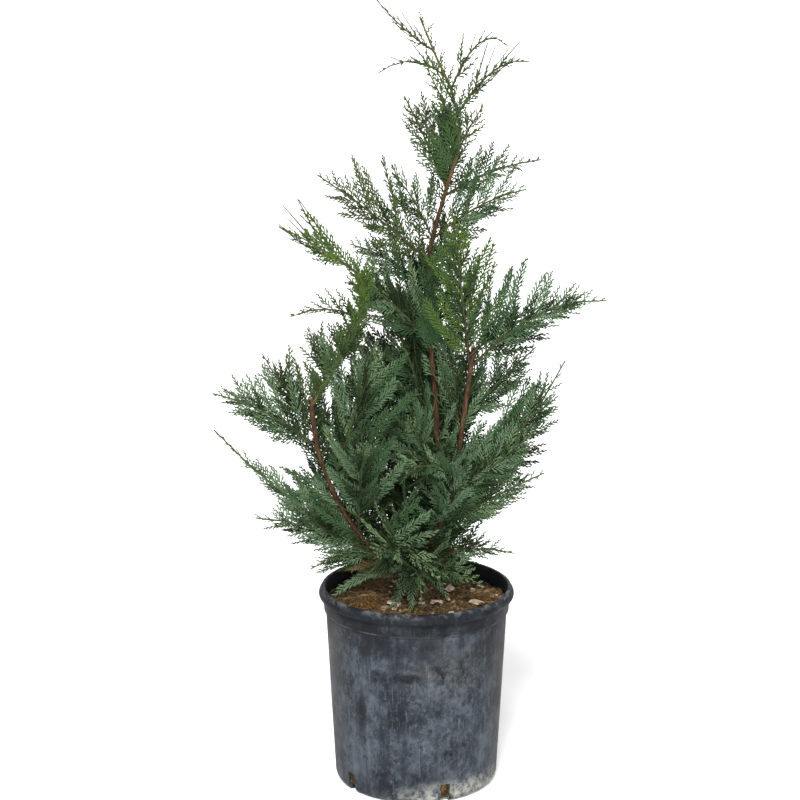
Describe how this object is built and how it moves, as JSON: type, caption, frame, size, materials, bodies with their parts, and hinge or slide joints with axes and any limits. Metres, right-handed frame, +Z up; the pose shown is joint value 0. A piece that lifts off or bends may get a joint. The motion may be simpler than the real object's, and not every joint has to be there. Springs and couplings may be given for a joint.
{
  "type": "potted arborvitae",
  "caption": "Young evergreen with flattened feathery blue-green sprays on a low-forked trunk, in a plain dark round nursery pot of soil.",
  "frame": {"origin": "on the ground, in the middle of the pot's flat underside", "axes": "+Z up, -Y towards the front of the crown as pictured, +X to the right of it"},
  "size_m": [0.4728, 0.3326, 0.9904],
  "materials": {
    "pot": "scuffed matte",
    "soil": "crumbly",
    "bark": "rough red-brown bark",
    "green_bark": "young green-brown bark",
    "foliage_blue": "waxy blue-green",
    "foliage_green": "waxy green",
    "foliage_bright": "waxy yellow-green"
  },
  "bodies": {
    "root": {"foliage_centre_upright": "foliage_blue", "foliage_crest_left": "foliage_bright", "foliage_crest_right": "foliage_green", "foliage_front_bright": "foliage_bright", "foliage_front_inner": "foliage_blue", "foliage_front_left": "foliage_blue", "foliage_front_low_left": "foliage_blue", "foliage_front_low_mid": "foliage_blue", "foliage_front_mid": "foliage_blue", "foliage_front_skirt": "foliage_blue", "foliage_front_skirt_right": "foliage_blue", "foliage_left_fan": "foliage_green", "foliage_left_hook": "foliage_green", "foliage_left_inner": "foliage_blue", "foliage_left_long": "foliage_blue", "foliage_left_low": "foliage_blue", "foliage_left_mid_fan": "foliage_blue", "foliage_left_plume": "foliage_bright", "foliage_left_skirt": "foliage_blue", "foliage_left_tuft": "foliage_green", "foliage_left_upright": "foliage_blue", "foliage_left_wide": "foliage_blue", "foliage_rear_01": "foliage_blue", "foliage_rear_02": "foliage_green", "foliage_rear_03": "foliage_green", "foliage_rear_04": "foliage_blue", "foliage_rear_05": "foliage_green", "foliage_rear_06": "foliage_green", "foliage_rear_07": "foliage_blue", "foliage_rear_08": "foliage_green", "foliage_rear_09": "foliage_green", "foliage_rear_10": "foliage_blue", "foliage_rear_11": "foliage_green", "foliage_rear_12": "foliage_green", "foliage_right_arch": "foliage_blue", "foliage_right_crest": "foliage_blue", "foliage_right_fan": "foliage_blue", "foliage_right_feather": "foliage_blue", "foliage_right_inner": "foliage_blue", "foliage_right_low": "foliage_blue", "foliage_right_reach": "foliage_green", "foliage_right_skirt": "foliage_blue", "foliage_right_sweep": "foliage_blue", "foliage_right_upright": "foliage_blue", "foliage_right_wide": "foliage_blue", "foliage_shoot_fringe": "foliage_green", "foliage_shoot_inner": "foliage_green", "foliage_top_left": "foliage_green", "foliage_upper_left_fan": "foliage_bright", "foliage_upper_left_tuft": "foliage_bright", "foliage_upper_left_long": "foliage_green", "foliage_upper_right": "foliage_green", "foliage_upper_right_fan": "foliage_green", "left_shoot": "green_bark", "left_stem": "bark", "pot": "pot", "rear_stem": "bark", "right_stem": "bark", "soil": "soil", "trunk": "bark"}
  },
  "joints": []
}
